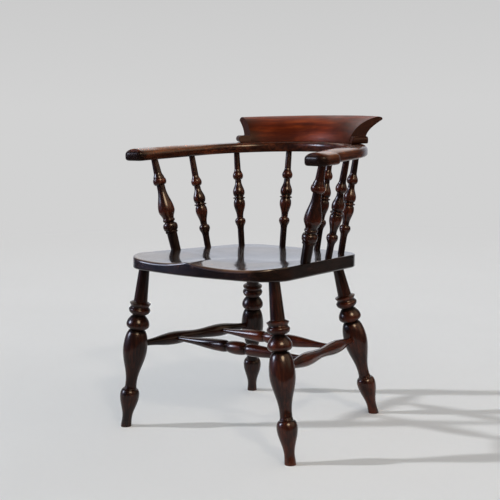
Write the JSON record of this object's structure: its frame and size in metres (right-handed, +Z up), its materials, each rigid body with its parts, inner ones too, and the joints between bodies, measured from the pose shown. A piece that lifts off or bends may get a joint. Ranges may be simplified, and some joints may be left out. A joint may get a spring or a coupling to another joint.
{
  "type": "smoker's bow low-back windsor armchair",
  "caption": "Low-back Windsor armchair with a saddled seat, turned legs and spindles, a sawn arm bow and a scrolled crest.",
  "frame": {"origin": "on the floor, under the middle of the chair's width and depth", "axes": "the sitter faces -Y and +Z is up; node names say left and right as seen from in front, so right is +X"},
  "size_m": [0.636, 0.6226, 0.7993],
  "materials": {
    "seat_wood": "elm, stained near black-brown and french polished, worn glossy",
    "turned_wood": "beech, stained dark red-brown and polished",
    "bow_wood": "elm, stained dark brown, polished, lighter where hands wear it",
    "crest_wood": "elm, stained red-brown and polished",
    "screw_steel": "plain countersunk wood screw"
  },
  "bodies": {
    "root": {"seat": "seat_wood", "leg_front_left": "turned_wood", "leg_front_right": "turned_wood", "leg_back_left": "turned_wood", "leg_back_right": "turned_wood", "stretcher_side_left": "turned_wood", "stretcher_side_right": "turned_wood", "stretcher_cross_front": "turned_wood", "stretcher_cross_rear": "turned_wood", "arm_post_left": "turned_wood", "arm_post_right": "turned_wood", "spindle_side_left": "turned_wood", "spindle_side_right": "turned_wood", "spindle_corner_left": "turned_wood", "spindle_corner_right": "turned_wood", "spindle_back_left": "turned_wood", "spindle_back_right": "turned_wood", "arm_left": "bow_wood", "arm_right": "bow_wood", "crest": "crest_wood", "crest_screw_left_1": "screw_steel", "crest_screw_left_2": "screw_steel", "crest_screw_right_1": "screw_steel", "crest_screw_right_2": "screw_steel"}
  },
  "joints": []
}
